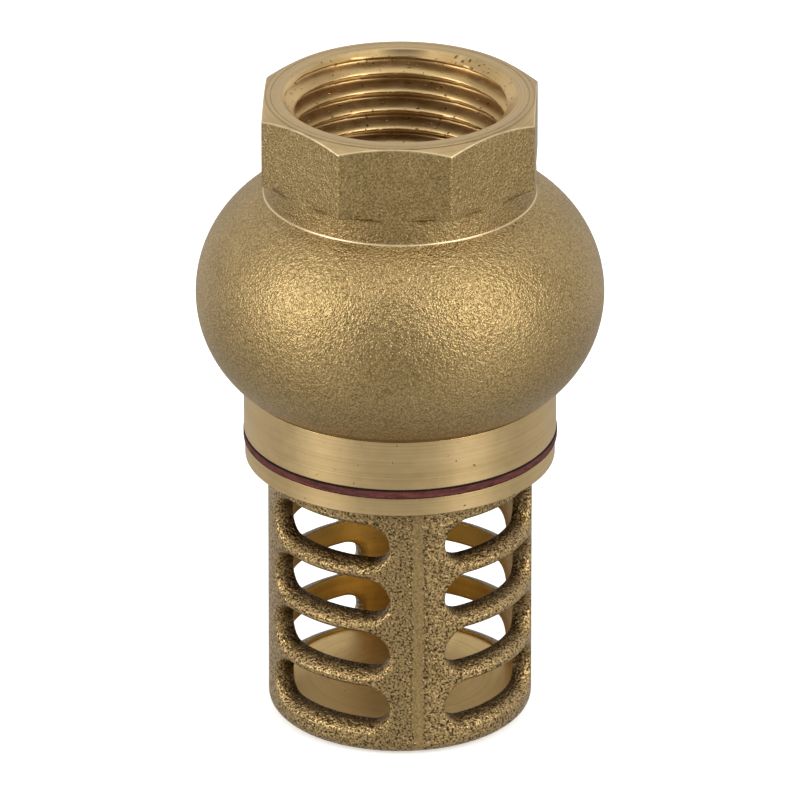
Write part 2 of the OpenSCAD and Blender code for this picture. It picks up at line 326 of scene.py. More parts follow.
roughLook = {
    "pit": tone(58, 46, 30), "dark": tone(112, 92, 58), "light": tone(200, 169, 117),
    "ground": tone(190, 160, 108), "lumpPerMm": 1.9, "lumpHeight": 0.18, "grainPerMm": 5.0,
    "grainHeight": 0.10, "roughness": 0.39, "seamHalfWidth": 0.48, "seamSoft": 0.08, "seamWander": 0.9,
    "seamGroove": 0.14, "grooveHeight": 0.05, "slotShade": 0.7, "flangeShade": 0.55, "flangeShadeReach": 1.9,
}


def roughBrass():
    # coarse sand casting with dark pits, and a ground seam down the front and back webs; painted
    # shade inside the slots and a painted shadow under the flange
    look, f = roughLook, Finish("roughBrass")
    where = f.place()
    x, y, z = f.split(where)
    lump = f.grain(where, look["lumpPerMm"], 1.5, 0.5)
    grain = f.grain(where, look["grainPerMm"], 1.5, 0.55)
    seamTurn = math.radians(strainer["turn"])
    across = abs(x * math.cos(seamTurn) + y * math.sin(seamTurn)) + (lump - 0.5) * look["seamWander"]
    half, soft = look["seamHalfWidth"], look["seamSoft"]
    seam = f.between(across, half - soft, half + soft, 1.0, 0.0)
    speck = f.between(grain, 0.36, 0.6)
    colour = f.blend(speck, look["dark"], look["light"])
    colour = f.blend(f.between(grain, 0.44, 0.33) * 0.85, colour, look["pit"])
    colour = f.blend(seam * 0.6, colour, look["ground"])
    groove = f.between(abs(across - half - 0.1), 0.03, look["seamGroove"], 1.0, 0.0)
    colour = f.blend(groove * 0.3, colour, look["pit"])
    # painted shade: the pit colour darkens the lips and throats inside the slots, more the deeper from the
    # wall
    depth = strainer["wallRadius"] - f.length(x, y)
    inSlot = f.between(depth, 0.5, 1.25, 0, look["slotShade"]) * (z > strainer["footRounding"] + 0.4)
    colour = f.blend(inSlot, colour, look["pit"])
    # painted shadow: the pit colour darkens the wall just under the flange
    flangeZ = gasketLow[2] - strainer["flangeThickness"]
    under = f.between(z, flangeZ - look["flangeShadeReach"], flangeZ - 0.3, 0, look["flangeShade"])
    colour = f.blend(under, colour, look["pit"])
    plain = 1 - seam * 0.5
    height = (lump * look["lumpHeight"] + grain * look["grainHeight"]) * plain - groove * look["grooveHeight"]
    rough = f.between(grain, 0.3, 0.7, look["roughness"] + 0.1, look["roughness"] - 0.1)
    return f.surface({"Base Color": colour, "Metallic": 1.0, "Roughness": rough, "Normal": f.bump(height)})


turnedLooks = {
    "turned": {"dark": tone(196, 166, 114), "light": tone(236, 209, 158), "roughness": 0.39,
               "linesPerMm": 7.0, "lineHeight": 0.006, "mottle": 0.1},
    "face": {"dark": tone(170, 142, 98), "light": tone(214, 188, 142), "roughness": 0.44,
             "linesPerMm": 6.0, "lineHeight": 0.012, "mottle": 0.35, "circles": (11.5, 11.95)},
    "thread": {"dark": tone(194, 162, 108), "light": tone(234, 204, 150), "roughness": 0.36,
               "linesPerMm": 2.0, "lineHeight": 0.002, "mottle": 0.25, "scarDeg": 53},
    "bored": {"dark": tone(172, 132, 58), "light": tone(204, 166, 86), "roughness": 0.42,
              "linesPerMm": 3.0, "lineHeight": 0.008, "mottle": 0.2},
    "floor": {"dark": tone(196, 164, 100), "light": tone(236, 208, 146), "roughness": 0.46,
              "linesPerMm": 2.2, "lineHeight": 0.03, "mottle": 0.2},
    # machined burr edges: the lighter colour is partly fresh brass, partly a painted highlight line
    "burr": {"dark": tone(206, 182, 138), "light": tone(238, 218, 178), "roughness": 0.40,
             "linesPerMm": 3.0, "lineHeight": 0.002, "mottle": 0.4},
    "inner": {"dark": tone(176, 140, 84), "light": tone(208, 174, 116), "roughness": 0.30,
              "linesPerMm": 6.0, "lineHeight": 0.006, "mottle": 0.2},
}
flaws = {
    # the grey-brown patch colour for the mouth's back is a painted dark reflection
    "pit": tone(74, 50, 26), "pitDepth": 0.03, "darkReflection": tone(84, 76, 66), "groove": tone(96, 76, 44),
    "grooveDepth": 0.04, "grooveHalfWidth": 0.09, "patchFoot": 0.95, "scarTop": 0.3, "reflectionTop": 0.2,
    "scarPerMm": 3.1, "scarPush": 0.17,
}


def turnedBrass(name, look):
    # fine lines left by the lathe: noise that changes with radius and height but hardly round the axis
    f = Finish(name)
    where = f.place()
    x, y, z = f.split(where)
    turn = f.node("ShaderNodeMath", {"operation": "ARCTAN2"}, {0: y, 1: x}).out(0)
    radius = f.length(x, y)
    turn = abs(turn)
    linesPerMm = look["linesPerMm"]
    lathe = f.grain(f.join(radius, turn * 0.05, z), linesPerMm, 3.0, 0.6)
    wide = f.grain(f.join(radius * 0.4, turn * 0.35, z * 0.4), linesPerMm * 0.2, 2.0, 0.5)
    stain = f.grain(where, 0.9, 3.0, 0.6)
    pits = f.between(f.grain(where, 2.6, 1.0, 0.4), 0.25, 0.20)
    shade = lathe * 0.5 + wide * 0.3 + stain * look["mottle"]
    colour = f.blend(f.between(shade, 0.3, 0.8), look["dark"], look["light"])
    if "scarDeg" in look:
        # a patch of casting pits at one angle near the mouth, and a painted dark reflection at its back, +Y
        footZ, scarZ = bodyHigh[2] - flaws["patchFoot"], bodyHigh[2] - flaws["scarTop"]
        scarTurn = math.radians(look["scarDeg"])
        ahead = (x * math.cos(scarTurn) + y * math.sin(scarTurn)) / radius
        patch = f.between(ahead, 0.978, 0.998) * f.between(z, footZ, scarZ)
        scar = f.grain(where, flaws["scarPerMm"], 0.0, 0.5) - patch * flaws["scarPush"]
        pits = pits + f.between(scar, 0.26, 0.20)
        # painted reflection: a dark grey patch in the middle of the back of the mouth
        darkReflection = f.between(y / radius, 0.972, 0.999) * f.between(z, footZ, bodyHigh[2] - flaws["reflectionTop"])
        colour = f.blend(darkReflection * 0.8, colour, flaws["darkReflection"])
    colour = f.blend(pits * 0.7, colour, flaws["pit"])
    height = lathe * look["lineHeight"] + wide * look["lineHeight"] - pits * flaws["pitDepth"]
    for circle in look.get("circles", ()):
        # a groove left by the tool on the flat face
        groove = f.between(abs(radius - circle), 0.03, flaws["grooveHalfWidth"], 1.0, 0.0)
        colour = f.blend(groove * 0.3, colour, flaws["groove"])
        height = height - groove * flaws["grooveDepth"]
    rough = f.between(stain, 0.35, 0.65, look["roughness"] - 0.04, look["roughness"] + 0.05)
    return f.surface({"Base Color": colour, "Metallic": 1.0, "Roughness": rough, "Normal": f.bump(height)})


fibreLook = {
    # the near-black edge colour is painted shade where the ring meets the brass
    "dark": tone(60, 25, 21), "light": tone(98, 46, 40), "fleck": tone(40, 18, 20), "edge": tone(10, 5, 5),
    "strandPerRadian": 14 * 0.8,     # 14 mm from the axis, 0.8 to the millimetre
    "strandPerMm": 4, "fleckPerMm": 4.0, "roughness": 0.8, "sheen": 0.25,
}


def redFibre():
    # pressed fibre: short strands along the ring, with darker flecks, and painted shade along both edges
    look, f = fibreLook, Finish("redFibre")
    where = f.place()
    x, y, z = f.split(where)
    turn = f.node("ShaderNodeMath", {"operation": "ARCTAN2"}, {0: y, 1: x}).out(0)
    fine = look["strandPerMm"]
    strand = f.grain(f.join(turn * look["strandPerRadian"], z * fine, f.length(x, y) * fine), 1.0, 3.0, 0.6)
    fleck = f.grain(where, look["fleckPerMm"], 2.0, 0.6)
    colour = f.blend(f.between(strand, 0.32, 0.68), look["dark"], look["light"])
    colour = f.blend(f.between(fleck, 0.62, 0.72), colour, look["fleck"])
    middle = (gasketLow[2] + gasketHigh[2]) / 2
    # painted shade: near-black bands along the upper and lower edges of the ring
    edge = f.between(abs(z - middle), fibreRing["darkFrom"], fibreRing["darkFrom"] + 0.1)
    colour = f.blend(edge * 0.95, colour, look["edge"])
    height = strand * 0.03 + fleck * 0.02
    return f.surface({"Base Color": colour, "Roughness": look["roughness"],
                      "Specular IOR Level": look["sheen"], "Normal": f.bump(height)})


def blackRubber():
    # moulded rubber: a dull bloom in clouds and a fine skin
    f = Finish("blackRubber")
    where = f.place()
    fine = f.grain(where, 6.0, 3.0, 0.6)
    bloom = f.grain(where, 0.7, 2.0, 0.5)
    colour = f.blend(f.between(bloom, 0.35, 0.7), tone(30, 30, 31), tone(52, 52, 53))
    rough = f.between(bloom, 0.3, 0.7, 0.5, 0.68)
    return f.surface({"Base Color": colour, "Roughness": rough, "Normal": f.bump(fine * 0.008)})


def steel(name, dark, light, roughness):
    # drawn or turned steel: lines round the axis, and smears in clouds
    f = Finish(name)
    where = f.place()
    x, y, z = f.split(where)
    lathe = f.grain(f.join(f.length(x, y), 0.0, z), 14.0, 2.0, 0.6)
    smear = f.grain(where, 1.5, 3.0, 0.6)
    colour = f.blend(f.between(lathe + smear, 0.7, 1.3), dark, light)
    rough = f.between(smear, 0.3, 0.7, roughness - 0.05, roughness + 0.07)
    return f.surface({"Base Color": colour, "Metallic": 1.0, "Roughness": rough,
                      "Normal": f.bump(lathe * 0.004)})


def whiteAcetal():
    # turned plastic: nearly even, with a fine skin
    f = Finish("whiteAcetal")
    where = f.place()
    cloud = f.grain(where, 0.8, 2.0, 0.5)
    fine = f.grain(where, 7.0, 2.0, 0.6)
    colour = f.blend(cloud, tone(222, 218, 206), tone(240, 238, 230))
    return f.surface({"Base Color": colour, "Roughness": f.between(fine, 0.3, 0.7, 0.32, 0.42),
                      "Normal": f.bump(fine * 0.003)})


# valve body

valveBody = {
    "ringHeight": 4.7, "ringRadius": 14.0, "bellyHeight": 8.5, "shoulderHeight": 9.75,
    "neckRadius": 12.28, "neckTop": 12.14, "neckStart": 0.15, "crownShort": 2.0,
    "ledge": [(0.09, 0.01), (0.015, 0.09)],     # steps out of the neck and up from its foot
    "hubHeight": 7.0, "hubFlats": 24.2, "hubCorner": 0.28,
    "rampLeast": 0.15, "footRamp": 0.9, "rampReach": 0.2, "burrBelow": 0.15,
    "burr": [(0, -0.10), (-0.01, -0.04), (-0.045, 0.0), (-0.10, 0.045)],     # from the edge: out, up
    "bevelStart": 11.9, "bevelSlope": 30.0, "mouthRadius": 10.55, "mouthSlope": 40.0,
    "threadMinor": 9.315, "threadMajor": 10.48, "threadPitch": 1.814, "threadStart": 0.324,
    "runOut": 0.9, "threadFoot": 0.05, "guideDrop": 2.2, "wall": 1.9,
    "collarRadius": 10.83, "collarWall": 1.75, "collarDrop": 3.4, "shoulderWidth": 0.9,
    "grooveTop": 1.8, "grooveHeight": 0.8, "grooveDepth": 0.53, "skirtBore": 11.2,
    "columnsPerFlat": 26, "columnsPerCorner": 5, "threadRowsPerTurn": 20, "arcSteps": 26,
    "hollowSteps": 14, "rounding": 0.12, "fineRounding": 0.03, "boreRounding": 0.05, "rimRounding": 0.10,
    "mouthRounding": 0.06, "skirtRounding": 0.25,
}


def flatEndDeg(size):
    # where a flat ends and the corner's rounding starts, in degrees from the flat's middle
    apothem, rounding = size["hubFlats"] / 2, size["hubCorner"]
    return math.degrees(math.atan((apothem - rounding) * math.tan(math.pi / 8) / apothem))


def hubAngles(size):
    # angles round the hub: closer together at the octagon's corners
    flatEnd = flatEndDeg(size)
    flat = np.linspace(-flatEnd, flatEnd, size["columnsPerFlat"] - size["columnsPerCorner"])
    nudge = np.array([flatEnd - 0.25])
    corner = np.linspace(flatEnd, 45 - flatEnd, size["columnsPerCorner"])[1:-1]
    sector = np.unique(np.round(np.concatenate([flat[:-1], -nudge, nudge, [flatEnd], corner]), 9))
    return np.radians(np.concatenate([sector + 45 * k for k in range(8)]))


def octagonRadius(angles, size):
    # distance to the octagon's side: a flat is apothem over cosine, a corner is a small circle
    apothem, rounding = size["hubFlats"] / 2, size["hubCorner"]
    away = np.abs((np.degrees(angles) + 22.5) % 45 - 22.5)
    flat = apothem / np.cos(np.radians(away))
    centre = (apothem - rounding) / math.cos(math.pi / 8)
    toCorner = np.radians(22.5 - away)
    inside = np.clip(rounding ** 2 - (centre * np.sin(toCorner)) ** 2, 0, None)
    return np.where(away <= flatEndDeg(size), flat, centre * np.cos(toCorner) + np.sqrt(inside))


def threadRadius(angles, z, size):
    # a right-hand screw: a rounded triangle wave of height over pitch less angle over a turn,
    # the arcsine of crest times sine; a crest of 1 would be pointed
    crest = 0.86
    phase = 2 * np.pi * (z / size["threadPitch"] + size["threadStart"]) - angles
    wave = np.arcsin(crest * np.sin(phase)) / math.asin(crest)
    middle = (size["threadMajor"] + size["threadMinor"]) / 2
    return middle + wave * (size["threadMajor"] - size["threadMinor"]) / 2


def bulbArc(widest, narrow, rise):
    # centre and radius of the arc that leaves the widest circle upright and draws in over rise
    reach = widest - narrow
    radius = (reach * reach + rise * rise) / (2 * reach)
    return widest - radius, radius


def makeBody():
    # one closed outline of radius and height, turned round the axis; the octagon's radius and the
    # thread's radius also vary with the angle
    size = valveBody
    skirtZ, topZ, bulbRadius = bodyLow[2], bodyHigh[2], (bodyHigh[1] - bodyLow[1]) / 2
    bulbZ = skirtZ + size["ringHeight"]
    midZ = bulbZ + size["bellyHeight"]
    neckZ = midZ + size["shoulderHeight"]
    hubZ = topZ - size["hubHeight"]
    guideZ = neckZ - size["guideDrop"]
    socket = next(m for m in frame["record"]["mounts"] if m["name"] == "pipe_socket")
    threadZ = socket["pos_m"][2] / mm - socket["dims"]["length_mm"] / 2
    rounding, fine, soft = size["rounding"], size["fineRounding"], size["boreRounding"]
    angles = hubAngles(size)
    count = len(angles)
    ones = np.ones((1, count))
    side = octagonRadius(angles, size)[None, :]

    def rowsOf(pairs):
        # rows of r and z from pairs, either of which may vary with the angle
        return np.concatenate([r * ones for r, _ in pairs]), np.concatenate([z * ones for _, z in pairs])

    # skirt ring, bulb and neck, from the skirt's lower edge upwards
    belly, bellyR = bulbArc(bulbRadius, size["ringRadius"], size["bellyHeight"])
    crown, crownR = bulbArc(bulbRadius, size["neckRadius"], size["shoulderHeight"])
    bellyStart = math.degrees(math.asin((bulbZ - midZ) / bellyR))
    crownEnd = math.degrees(math.asin((neckZ - midZ) / crownR)) - size["crownShort"]
    ring = softCorners([
        (size["skirtBore"] + 1, skirtZ, 0), (size["ringRadius"], skirtZ, rounding),
        (size["ringRadius"], bulbZ - 0.02, size["rimRounding"]), (size["ringRadius"] - rounding, bulbZ, 0)])
    bulb = np.concatenate([arc((belly, midZ), bellyR, bellyStart, 0, size["arcSteps"])[1:-1],
                           arc((crown, midZ), crownR, 0, crownEnd, size["arcSteps"])])
    # the ledge at the neck's foot takes the burr finish: a machined fillet whose light colour is partly a
    # painted highlight line
    ledge = np.array([(size["neckTop"] + out, neckZ + up) for out, up in size["ledge"]])
    neck = line((size["neckTop"], neckZ + size["neckStart"]), (size["neckTop"], hubZ), 6)
    parts = [("turned", *turnedRows(ring, count)), ("cast", *turnedRows(bulb, count)),
             ("burr", *turnedRows(ledge, count)), ("cast", *turnedRows(neck, count))]

    # octagon: its foot, its sides, the burr along the bevelled top corners, and the flat face
    slope = math.tan(math.radians(size["bevelSlope"]))
    edgeZ = topZ - (side - size["bevelStart"]) * slope
    ramp = size["rampLeast"] + size["footRamp"] * np.clip((size["neckTop"] - side) / size["rampReach"], 0, 1)
    foot = [(size["neckTop"] + (side - size["neckTop"]) * t * t * (3 - 2 * t), hubZ + ramp * t)
            for t in (0, 0.3, 0.5, 0.7, 0.85, 1)]
    climb = edgeZ - hubZ - ramp - size["burrBelow"]
    rise = [(side, hubZ + ramp + climb * t) for t in np.linspace(0.1, 1, 8)]
    # the burr rows along the top corners: machined edge, its light colour partly a painted highlight line
    edge = [(side + out, edgeZ + up) for out, up in size["burr"]]
    parts += [("cast", *rowsOf(foot + rise)), ("burr", *rowsOf(edge[:3])), ("face", *rowsOf(edge[3:]))]
    mouthSlope = math.tan(math.radians(size["mouthSlope"]))
    face = softCorners([
        (size["bevelStart"] + 0.1, topZ - 0.1 * slope, 0), (size["bevelStart"], topZ, soft),
        (size["mouthRadius"], topZ, size["mouthRounding"]),
        (size["mouthRadius"] - rounding, topZ - rounding * mouthSlope, 0)])
    parts.append(("face", *turnedRows(face, count)))

    # mouth cone and pipe thread: whichever surface lies further out
    rows = int((topZ - threadZ) / size["threadPitch"] * size["threadRowsPerTurn"])
    threadFoot = threadZ + size["threadFoot"]
    z = np.linspace(face[-1, 1] - 0.03, threadFoot, rows)[:, None] * ones
    screw = threadRadius(angles, z, size)
    runOut = np.clip((z - threadFoot) / size["runOut"], 0, 1)
    screw = size["threadMinor"] + (screw - size["threadMinor"]) * runOut
    cone = size["mouthRadius"] - (topZ - z) / mouthSlope
    parts.append(("thread", np.maximum(screw, cone), z))

    # the inside, from the spider's shoulder down to the skirt's mouth
    wall, collar = size["wall"], size["collarRadius"]
    collarR, collarZ = collar + size["collarWall"], guideZ - size["collarDrop"]
    grooveR, grooveZ = collar + size["grooveDepth"], guideZ - size["grooveTop"]
    grooveFoot = grooveZ - size["grooveHeight"]
    shelf = collar - size["shoulderWidth"]
    roof = math.sqrt((crownR - wall) ** 2 - (collarR - crown) ** 2)
    roofDeg = math.degrees(math.asin(roof / (crownR - wall)))
    mouthDeg = -math.degrees(math.acos((size["skirtBore"] - belly) / (bellyR - wall)))
    shoulder = softCorners([
        (size["threadMinor"], threadFoot, 0), (size["threadMinor"], threadZ, fine),
        (shelf, threadZ, fine), (shelf, guideZ, soft), (collar, guideZ, soft),
        (collar, grooveZ, fine), (grooveR, grooveZ, fine), (grooveR, grooveFoot, fine),
        (collar, grooveFoot, fine), (collar, collarZ, rounding), (collarR, collarZ, rounding),
        (collarR, midZ + roof, 0)], 2)
    hollow = np.concatenate([arc((crown, midZ), crownR - wall, roofDeg, 0, size["hollowSteps"])[1:],
                             arc((belly, midZ), bellyR - wall, 0, mouthDeg, size["hollowSteps"])[1:]])
    skirt = softCorners([tuple(hollow[-1]) + (0,), (size["skirtBore"], skirtZ, size["skirtRounding"]),
                         (size["skirtBore"] + 1, skirtZ, 0)])[1:-1]
    parts += [("turned", *turnedRows(shoulder[1:], count)), ("cast", *turnedRows(hollow, count)),
              ("turned", *turnedRows(skirt, count))]

    names = ["cast", "turned", "face", "thread", "burr"]
    r = np.concatenate([p[1] for p in parts])
    z = np.concatenate([p[2] for p in parts])
    marks = np.concatenate([[names.index(p[0])] * len(p[1]) for p in parts])
    points = roundTable(r, z, angles)
    faces = gridFaces(len(r), count, closeRows=True)
    owner = np.repeat(marks, count)
    return makePiece("valveBody", [(points, faces, owner)], [finishes[n] for n in names])


# strainer basket

strainer = {
    "turn": 10.0,            # degrees, as the basket is screwed home
    "wallRadius": 11.85, "boreRadius": 10.1, "flangeRadius": 13.9, "flangeThickness": 1.7,
    "spigotRadius": 11.17, "seatRadius": 8.0, "lipWidth": 0.7, "lipHeight": 0.5,
    "floor": 2.6, "footRounding": 1.2,
    "columns": 4, "rows": 4, "slotHeight": 3.2, "slotHalfWidth": 5.61, "pitch": 5.32,
    "topBand": 2.7, "lipRounding": 0.92, "lipDepth": 1.6, "lipBend": 40, "innerRounding": 0.07,
    "perLine": 14, "perEnd": 14, "cornerStep": 4, "lipSteps": 9, "footSteps": 8,
    "threadPitch": 1.5, "threadDepth": 0.45, "threadRows": 44, "undercut": 0.3,
    "coneDrop": 0.5, "spigotChamfer": 0.35, "wallRounding": 0.25, "flangeRounding": 0.10,
    "seatRounding": 0.12, "coneRounding": 0.2, "lipDraft": 0.35,
    "roughRows": 4,          # rows of faces up to the flange that are left as cast
    "footRings": (9.0, 6.0, 3.0, 0.8, 0.0), "floorRings": (7.5, 5.0, 2.5, 0.8, 0.0),
}


def slotOutline(grow):
    # a slot's outline grown outwards: two straight lines and two half circles, clockwise from top left
    size = strainer
    end = size["slotHalfWidth"] - size["slotHeight"] / 2
    radius = size["slotHeight"] / 2 + grow
    top = line((-end, radius), (end, radius), size["perLine"])
    right = arc((end, 0), radius, 90, -90, size["perEnd"])[:-1]
    bottom = line((end, -radius), (-end, -radius), size["perLine"])
    left = arc((-end, 0), radius, 270, 90, size["perEnd"])[:-1]
    return np.concatenate([top, right, bottom, left])


def cellBorder(low, high):
    # the cell's edge as (degrees from the slot's middle, height), with a point for each outline point
    size = strainer
    halfTurn = 180 / size["columns"]
    across = size["perLine"] + 2 * size["cornerStep"]
    upright = size["perEnd"] - 2 * size["cornerStep"]
    degrees = np.linspace(-halfTurn, halfTurn, across + 1)
    heights = np.linspace(high, low, upright + 1)
    border = np.concatenate([
        np.stack([degrees, np.full(across + 1, high)], 1)[:-1],
        np.stack([np.full(upright + 1, halfTurn), heights], 1)[:-1],
        np.stack([degrees[::-1], np.full(across + 1, low)], 1)[:-1],
        np.stack([np.full(upright + 1, -halfTurn), heights[::-1]], 1)[:-1]])
    return np.roll(border, -size["cornerStep"], 0)


def slotCell(middle, low, high, floorLow):
    # rings of (degrees, height, radius), from the basket's outside through the slot to its bore
    size = strainer
    wall, bore, rounding = size["wallRadius"], size["boreRadius"], size["lipRounding"]

    def onWall(grow, radius):
        # the outline seen straight on, laid on a cylinder: degrees are the arcsine
        outline = slotOutline(grow)
        return np.stack([np.degrees(np.arcsin(outline[:, 0] / radius)), outline[:, 1] + middle,
                         np.full(len(outline), radius)], 1)

    def spread(ring, border, radius, shares):
        # rings between an outline and the cell's edge
        rings = []
        for share in shares:
            flat = ring[:, :2] * (1 - share) + border * share
            rings.append(np.concatenate([flat, np.full((len(flat), 1), radius)], 1))
        return rings

    # the lip bends from the wall down to the throat: part straight draft, part arc
    lips, bend, draft = [], math.radians(size["lipBend"]), size["lipDraft"]
    for a in np.linspace(0, bend, size["lipSteps"]):
        inward = math.sin(a) / math.sin(bend)
        deep = draft * inward + (1 - draft) * (1 - math.cos(a)) / (1 - math.cos(bend))
        lips.append(onWall(rounding * (1 - inward), wall - size["lipDepth"] * deep))
    outside = spread(lips[0], cellBorder(low, high), wall, [1, 0.75, 0.5, 0.25])
    throat = [onWall(0, bore + size["innerRounding"])]
    inner = onWall(size["innerRounding"], bore)
    inside = [inner] + spread(inner, cellBorder(floorLow, high), bore, [0.25, 0.5, 0.75, 1])
    return np.array(outside + lips + throat + inside), len(outside)


def cellPoints(rings, turnDeg):
    # (degrees, height, radius) turned into x, y and z
    angle = np.radians(rings[..., 0] + turnDeg)
    return np.stack([rings[..., 2] * np.cos(angle), rings[..., 2] * np.sin(angle), rings[..., 1]], -1)


def makeBasket():
    # rows and columns of cells, each a slot in its share of the wall, between a turned rim and
    # a turned foot; the floor closes it
    size = strainer
    wall, bore, flange = size["wallRadius"], size["boreRadius"], size["flangeRadius"]
    seatZ = strainerHigh[2]
    flangeZ = gasketLow[2] - size["flangeThickness"]
    topZ = flangeZ - size["topBand"]
    middles = [topZ - size["slotHeight"] / 2 - row * size["pitch"] for row in range(size["rows"])]
    half = size["pitch"] / 2
    blocks = []
    for row, middle in enumerate(middles):
        last = row == size["rows"] - 1
        low = middle - half
        rings, outsideCount = slotCell(middle, low, middle + half, size["floor"] if last else low)
        faces = gridFaces(len(rings), rings.shape[1])
        lipRows = outsideCount + size["lipSteps"]
        marks = np.where(np.arange(len(faces)) // rings.shape[1] < lipRows, 0, 1)
        for column in range(size["columns"]):
            turn = size["turn"] - 90 + (column + 0.5) * 360 / size["columns"]
            blocks.append((cellPoints(rings, turn), faces, marks))

    # everything else is turned: the same angles as the cells' upper and lower edges
    count = (size["perLine"] + 2 * size["cornerStep"]) * size["columns"]
    angles = np.radians(size["turn"] - 90 + np.arange(count) * 360 / count)
    foot = size["footRounding"]
    below = np.concatenate([
        [[wall, middles[-1] - half]], arc((wall - foot, foot), foot, 0, -90, size["footSteps"]),
        [[radius, 0] for radius in size["footRings"]]])
    coneZ = flangeZ - size["coneDrop"]
    lipZ = seatZ - size["lipHeight"]
    seat, lip = size["seatRadius"], size["seatRadius"] + size["lipWidth"]
    spigot = size["spigotRadius"]
    waist, edge, seatEdge = spigot - size["undercut"], size["flangeRounding"], size["seatRounding"]
    above = softCorners([
        (wall, middles[0] + half, 0), (wall, flangeZ, size["wallRounding"]), (flange, flangeZ, edge),
        (flange, gasketLow[2], edge), (waist, gasketLow[2], 0.05), (waist, gasketLow[2] + 0.7, 0)], 3)
    tip = softCorners([
        (spigot, lipZ - size["spigotChamfer"], 0), (waist, lipZ, 0.05), (lip, lipZ, 0.08),
        (lip, seatZ, seatEdge), (seat, seatZ, seatEdge), (seat, coneZ + bore - seat, size["coneRounding"]),
        (bore, coneZ, size["coneRounding"]), (bore, middles[0] + half, 0)], 3)
    screwZ = np.linspace(above[-1, 1] + 0.1, tip[0, 1] - 0.1, size["threadRows"])[:, None]
    screw = threadRadius(angles, screwZ, {
        "threadPitch": size["threadPitch"], "threadStart": 0, "threadMajor": spigot,
        "threadMinor": spigot - size["threadDepth"]})
    aboveR, aboveZ = turnedRows(above, count)
    tipR, tipZ = turnedRows(tip, count)
    screwZ = np.repeat(screwZ, count, 1)
    upper = roundTable(np.concatenate([aboveR, screw, tipR]), np.concatenate([aboveZ, screwZ, tipZ]), angles)
    faces = gridFaces(len(upper), count)
    turned = np.where(np.arange(len(faces)) // count < size["roughRows"], 0, 2)
    turned[-2 * count:] = 1       # the bore between the cone under the seat and the slots
    blocks.append((upper, faces, turned))
    lower = roundTable(*turnedRows(below, count), angles)
    blocks.append((lower, gridFaces(len(lower), count), 0))
    floorPath = np.array([[radius, size["floor"]] for radius in (bore, *size["floorRings"])])
    floor = roundTable(*turnedRows(floorPath, count), angles)
    blocks.append((floor, gridFaces(len(floor), count), 3))
    names = ("rough", "bored", "turned", "floor")
    return makePiece("strainerBasket", blocks, [finishes[n] for n in names], joinGap=2e-6)


# joint gasket

fibreRing = {"edge": 0.16, "wobble": 0.035, "columns": 180, "darkFrom": 0.25, "boreGap": 0.06}


def makeGasket():
    # a pressed fibre ring: its outer edge wanders by a few hundredths of a millimetre
    outer = gasketHigh[0] - fibreRing["wobble"]
    low, high = gasketLow[2], gasketHigh[2]
    inner = strainer["spigotRadius"] + fibreRing["boreGap"]
    edge = fibreRing["edge"]
    profile = softCorners([(inner, low, 0), (outer, low, edge), (outer, high, edge), (inner, high, 0)])
    angles = np.linspace(0, 2 * np.pi, fibreRing["columns"], endpoint=False)
    wave = np.sin(3 * angles + 0.6) + 0.7 * np.sin(7 * angles + 2.1) + 0.5 * np.sin(17 * angles)
    share = (profile[:, :1] > outer - 1) * 1.0
    waveTop = 1 + 0.7 + 0.5      # the highest that the three waves reach together
    radius = profile[:, :1] + share * wave[None, :] / waveTop * fibreRing["wobble"]
    points = roundTable(radius, profile[:, 1:], angles)
    faces = gridFaces(len(profile), len(angles), closeRows=True)
    return makePiece("jointGasket", [(points, faces, 0)], [finishes["fibre"]])


# closing spring

coil = {
    "wireRadius": 0.25, "turns": 6, "closedPitch": 0.52, "endTurns": 0.8, "easeTurns": 0.6,
    "stepsPerTurn": 40, "sides": 12, "lift": 4.0,
}


def makeSpring():
    # a helix whose pitch grows from closed end turns to open middle turns
    low, high = springLow[2], springHigh[2]
    wire = coil["wireRadius"]
    radius = springHigh[0] - wire
    steps = coil["turns"] * coil["stepsPerTurn"]
    turn = np.linspace(0, coil["turns"], steps + 1)
    fromEnd, ease = np.minimum(turn, coil["turns"] - turn), coil["easeTurns"]
    openness = np.clip(fromEnd - coil["endTurns"], 0, ease) / ease
    total = high - low - 2 * wire
    extra = (total - coil["closedPitch"] * coil["turns"]) / (openness[1:].mean() * coil["turns"])
    pitch = coil["closedPitch"] + extra * openness
    climb = np.concatenate([[0], np.cumsum((pitch[1:] + pitch[:-1]) / 2 * np.diff(turn))])
    height = low + wire + climb / climb[-1] * total
    angle = 2 * np.pi * turn
    slope = pitch / (2 * np.pi * radius)
    outward = np.stack([np.cos(angle), np.sin(angle), 0 * angle], 1)
    along = np.stack([-np.sin(angle), np.cos(angle), slope], 1)
    along /= np.linalg.norm(along, axis=1)[:, None]
    upward = np.cross(outward, along)
    middle = np.stack([radius * np.cos(angle), radius * np.sin(angle), height], 1)
    around = np.linspace(0, 2 * np.pi, coil["sides"], endpoint=False)
    cosine, sine = np.cos(around)[None, :, None], np.sin(around)[None, :, None]
    tube = middle[:, None] + (outward[:, None] * cosine + upward[:, None] * sine) * wire
    ends = [np.repeat(middle[k][None, None], coil["sides"], 1) for k in (0, -1)]
    points = np.concatenate([ends[0], tube, ends[1]])
    return makePiece("closingSpring", [(points, gridFaces(len(points), coil["sides"]), 0)],
                     [finishes["springSteel"]])


# the finishes, then the four pieces that are made anew

finishes = {"cast": castBrass(), "rough": roughBrass()}
for name, look in turnedLooks.items():
    finishes[name] = turnedBrass(name + "Brass", look)
finishes["fibre"] = redFibre()
finishes["rubber"] = blackRubber()
finishes["stainless"] = steel("stainless", tone(150, 151, 153), tone(196, 197, 199), roughness=0.26)
finishes["springSteel"] = steel("springSteel", tone(138, 140, 144), tone(190, 192, 196), roughness=0.22)
finishes["acetal"] = whiteAcetal()
print("finishes made:", len(finishes))

